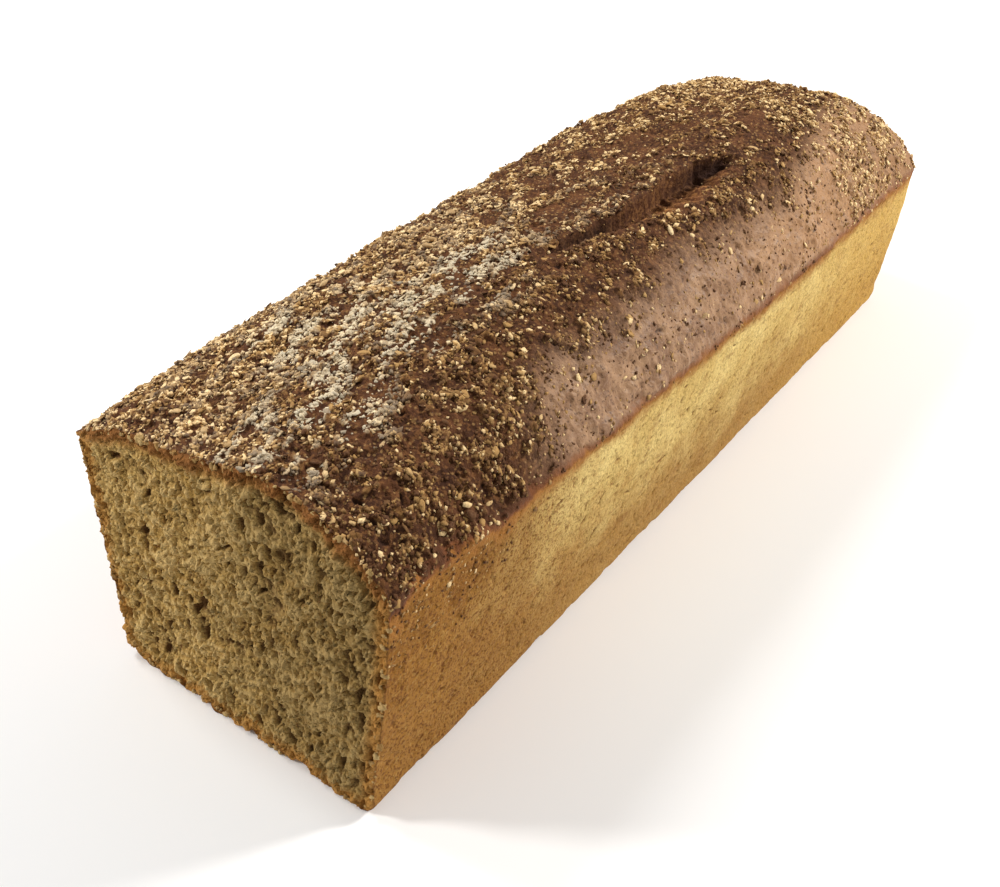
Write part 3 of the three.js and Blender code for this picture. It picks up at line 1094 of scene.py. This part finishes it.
class CrustShader(Shader):
    """The crust's material, with the values and patterns that its parts share."""

    def __init__(self):
        super().__init__("crust")
        self.above = self.value("above")
        self.pit = self.value("pit")
        self.mauve = self.value("mauve")
        self.broad = self.noise(26, 3)
        self.patch = self.noise(7, 4)
        self.fine = self.noise(1.3, 4, 0.65)
        self.along = self.noise(3.5, 3, 0.6, (1.0, 0.4, 1.0))
        self.line = self.sum(self.sum(self.above, self.patch, 5.0), self.fine, 3.0)

    def wall(self):
        """Brownish orange near the cut and low down, then golden, then orange towards the far end, with
        painted shade in the pits.
        """
        golden = self.paint((0.65, 0.445, 0.14), (0.82, 0.62, 0.235), self.broad, 0.3, 0.7)
        toasted = self.paint((0.25, 0.1, 0.013), (0.35, 0.16, 0.026), self.broad, 0.3, 0.7)
        from_cut = self.sum(self.place("Y", CUT_Y), self.broad, 40.0)
        wall = self.paint(toasted, golden, from_cut, 44, 125)
        low = self.sum(self.above, self.broad, 40.0)
        wall = self.paint(wall, (0.36, 0.17, 0.034), low, 4, -34, 0.8)
        wall = self.paint(wall, (0.6, 0.35, 0.075), from_cut, 210, 320, 0.7)
        wall = self.paint(wall, (0.42, 0.2, 0.045), self.patch, 0.45, 0.75, 0.4)
        wall = self.paint(wall, (0.64, 0.44, 0.15), self.fine, 0.5, 0.75, 0.35)
        wall = self.paint(wall, (0.25, 0.1, 0.02), self.along, 0.56, 0.70, 0.4)
        dots = self.step(self.noise(0.8, 2), 0.53, 0.60)
        dots = self.times(dots, self.step(from_cut, 50, 130, 0.95, 0.35))
        wall = self.mix(dots, wall, (0.18, 0.065, 0.012))
        # Painted shade: darker in the pits, by how deep they are
        return self.paint(wall, (0.15, 0.055, 0.012), self.pit, 0.1, 0.6, 0.85)

    def crust_line(self):
        """From the wall up: orange, then reddish brown, then nearly black brown."""
        orange = self.paint(self.wall(), (0.36, 0.15, 0.03), self.line, -3, 3)
        red = self.mix(self.mauve, (0.2, 0.07, 0.025), (0.33, 0.145, 0.06))
        reddish = self.paint(orange, red, self.line, 2, 5)
        brown = self.mix(self.mauve, (0.11, 0.042, 0.018), (0.25, 0.118, 0.058))
        return self.paint(reddish, brown, self.line, 4.5, 7)

    def bare_top(self):
        """Dark red-brown, with orange pimples."""
        top = self.paint((0.05, 0.017, 0.006), (0.115, 0.042, 0.015), self.patch, 0.35, 0.7)
        top = self.paint(top, (0.26, 0.11, 0.034), self.fine, 0.48, 0.62, 0.5)
        return self.paint(top, (0.42, 0.24, 0.085), self.cells(1.5), 0.34, 0.16, 0.55)

    def shoulder(self):
        """Smooth and mauve with dark specks, and browner towards the far end."""
        mauve = self.paint((0.225, 0.116, 0.06), (0.43, 0.25, 0.135), self.patch, 0.3, 0.7)
        mauve = self.paint(mauve, (0.5, 0.31, 0.17), self.fine, 0.48, 0.66, 0.4)
        mauve = self.paint(mauve, (0.52, 0.275, 0.118), self.place("Y", CUT_Y), 130, 260, 0.55)
        return self.paint(mauve, (0.06, 0.025, 0.015), self.noise(1.0, 3), 0.57, 0.64, 0.6)

    def carpet(self):
        """Packed bran, greyer where flour lies on it."""
        pale = self.mix(self.value("pale"), (0.25, 0.12, 0.035), (0.6, 0.38, 0.155))
        grains = self.paint((0.17, 0.075, 0.024), pale, self.fine, 0.42, 0.62)
        return self.mix(self.times(self.value("flour"), 0.8), grains, (0.72, 0.61, 0.42))

    def top(self):
        top = self.mix(self.mauve, self.bare_top(), self.shoulder())
        return self.paint(top, self.carpet(), self.value("carpet"), 0.35, 0.8)

    def tear(self):
        """Orange brown, paler on its ridges."""
        inside = self.paint((0.13, 0.045, 0.015), (0.42, 0.19, 0.06), self.fine, 0.4, 0.68)
        return self.paint(inside, (0.09, 0.03, 0.012), self.along, 0.5, 0.62, 0.6)

    def bottom(self):
        bottom = self.paint((0.3, 0.14, 0.04), (0.44, 0.24, 0.075), self.patch, 0.35, 0.7)
        return self.paint(bottom, (0.5, 0.31, 0.12), self.pit, 0.1, 0.6, 0.7)

    def make(self):
        """Puts the parts together, with painted shade in the top's pits and under the tear's steep left
        edge.
        """
        above_line = self.sum(self.line, self.mauve, 3.5)
        colour = self.paint(self.crust_line(), self.top(), above_line, 6, 11)
        # Painted shade: the top's pits are darkened by how deep they are
        top_pit_shade = self.times(self.step(self.pit, 0.2, 0.8), self.step(self.above, 0, 3))
        colour = self.mix(top_pit_shade, colour, (0.05, 0.02, 0.01))
        colour = self.mix(self.value("torn"), colour, self.tear())
        # Painted shade: near black under the tear's steep left edge
        colour = self.mix(self.value("painted_tear_shade"), colour, (0.03, 0.01, 0.005))
        colour = self.mix(self.value("base"), colour, self.bottom())
        roughness = self.mix(self.mauve, (0.85, 0.85, 0.85), (0.42, 0.42, 0.42))
        height = self.sum(self.noise(0.8, 3), self.noise(2.4, 4), 1.4)
        height = self.times(height, self.step(self.mauve, 0, 1, 1, 0.45))
        return self.finish(colour, roughness, height, 0.45, 0.2)


def crumb_material():
    shade = Shader("crumb")
    pit = shade.value("pit")
    rind = shade.value("rind")
    above = shade.value("above")
    broad = shade.noise(12, 4)
    fine = shade.noise(0.9, 4, 0.7)
    grain = shade.noise(2.2, 3, 0.6)
    colour = shade.paint((0.5, 0.305, 0.083), (0.62, 0.42, 0.145), broad, 0.3, 0.7)
    colour = shade.paint(colour, (0.72, 0.52, 0.22), grain, 0.5, 0.7, 0.6)
    colour = shade.paint(colour, (0.26, 0.14, 0.038), fine, 0.5, 0.68, 0.45)
    # Painted shade in the gaps between the granules, which the bump also sinks
    gaps = shade.step(shade.cells(1.1), 0.32, 0.62)
    colour = shade.mix(shade.times(gaps, 0.4), colour, (0.25, 0.13, 0.034))
    colour = shade.paint(colour, (0.2, 0.085, 0.03), shade.noise(1.4, 1), 0.68, 0.74, 0.8)
    # Painted highlight on the bumps and painted shade in the pits and holes, by the relief's depth
    colour = shade.paint(colour, (0.66, 0.47, 0.2), pit, -0.1, -0.6, 0.5)
    colour = shade.paint(colour, (0.1, 0.04, 0.011), pit, 0.1, 1.4, 0.92)
    # Painted shade: the cut face darkens towards its right side
    painted_shade_to_right = shade.sum(shade.place("X"), broad, 50.0)
    colour = shade.paint(colour, (0.17, 0.105, 0.035), painted_shade_to_right, 0, 60, 0.5)
    # Towards the walls the crumb turns golden, and towards the top brown
    edge = shade.sum(rind, broad, -2.5)
    side = shade.paint(colour, (0.44, 0.2, 0.04), edge, 4.6, 0.4, 0.8)
    top = shade.paint(side, (0.23, 0.088, 0.022), edge, 4.2, 0.2, 0.9)
    colour = shade.paint(side, top, above, -4, 4)
    colour = shade.paint(colour, (0.2, 0.08, 0.022), rind, 0.5, 0.05, 0.8)
    height = shade.sum(shade.sum(fine, grain, 1.2), gaps, -0.5)
    return shade.finish(colour, 0.9, height, 0.45, 0.15)


def bran_material():
    shade = Shader("bran")
    tint = shade.value("tint")
    fine = shade.noise(0.5, 3)
    colour = shade.paint((0.085, 0.03, 0.009), (0.47, 0.27, 0.09), tint, 0.05, 0.5)
    colour = shade.paint(colour, (0.98, 0.72, 0.37), tint, 0.5, 0.95)
    colour = shade.mix(shade.times(shade.value("flour"), 0.75), colour, (0.86, 0.77, 0.56))
    colour = shade.paint(colour, (0.28, 0.15, 0.06), fine, 0.4, 0.7, 0.4)
    return shade.finish(colour, 0.7, fine, 0.1, 0.2)


def crumbs_material():
    shade = Shader("loose_crumb")
    tint = shade.value("tint")
    fine = shade.noise(0.6, 4, 0.7)
    colour = shade.paint((0.34, 0.19, 0.06), (0.52, 0.36, 0.15), tint, 0.0, 1.0)
    colour = shade.paint(colour, (0.22, 0.11, 0.03), fine, 0.5, 0.7, 0.6)
    return shade.finish(colour, 0.9, fine, 0.3, 0.15)


# ---- the stage


def add_lamp(name, place, width, power, colour):
    lamp = bpy.data.lights.new(name, "AREA")
    lamp.shape = "DISK"
    lamp.size = width
    lamp.energy = power
    lamp.color = colour
    thing = add_object(name, lamp)
    thing.location = place
    to_aim = Vector(LAMP_AIM) - Vector(place)
    thing.rotation_euler = to_aim.to_track_quat("-Z", "Y").to_euler()


def add_floor():
    shade = Shader("floor")
    tone = shade.step(shade.noise(300, 1), 0.3, 0.7)
    pale = shade.mix(tone, (0.93, 0.93, 0.93), (0.95, 0.95, 0.95))
    reach = FLOOR_REACH
    corners = [(-reach, -reach, 0), (reach, -reach, 0), (reach, reach, 0), (-reach, reach, 0)]
    mesh = bpy.data.meshes.new("floor")
    mesh.from_pydata(corners, [], [(0, 1, 2, 3)])
    mesh.materials.append(shade.finish(pale, 0.9, tone, 0.01))
    add_object("floor", mesh)


def set_stage():
    add_floor()
    for lamp in LAMPS:
        add_lamp(*lamp)
    world = bpy.data.worlds.new("room")
    world.use_nodes = True
    background = world.node_tree.nodes["Background"]
    background.inputs["Color"].default_value = (1.0, 1.0, 1.0, 1.0)
    background.inputs["Strength"].default_value = ROOM_LIGHT
    bpy.context.scene.world = world
    bpy.context.scene.view_settings.view_transform = "Standard"
    bpy.context.scene.view_settings.look = "None"


def set_camera():
    """Looks at the cut and the right side, from above."""
    place = Vector(CAMERA_PLACE) * MM
    aim = Vector(CAMERA_AIM) * MM
    roll = math.radians(CAMERA_ROLL)
    forward = (aim - place).normalized()
    level = forward.cross(Vector((0, 0, 1))).normalized()
    upright = level.cross(forward)
    right = math.cos(roll) * level + math.sin(roll) * upright
    up = -math.sin(roll) * level + math.cos(roll) * upright
    lens = bpy.data.cameras.new("camera")
    lens.sensor_width = SENSOR_WIDTH
    lens.lens = LENS_LENGTH
    lens.clip_start = 0.01
    lens.clip_end = 50
    camera = add_object("camera", lens)
    turn = Matrix((right, up, -forward)).transposed().to_4x4()
    camera.matrix_world = Matrix.Translation(place) @ turn
    bpy.context.scene.camera = camera


# ---- everything together


bran = bran_material()
body, right_half, left_half = make_loaf([CrustShader().make(), crumb_material()])
halves = [right_half, left_half]
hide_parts("loaf")
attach(body, "root")
pieces = [
    make_grit("bran_grit", halves, random.uniform(0.22, 0.52, GRIT_COUNT), 0.9, bran),
    make_grit("bran_coarse", halves, random.uniform(0.5, 0.85, COARSE_COUNT), 1.8, bran),
    make_flakes(halves, bran),
    make_kernels(halves, bran),
]
for piece in pieces:
    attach(piece, "root")
crumbs = make_crumbs(right_half, left_half, crumbs_material())
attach(crumbs, "root")
set_stage()
set_camera()
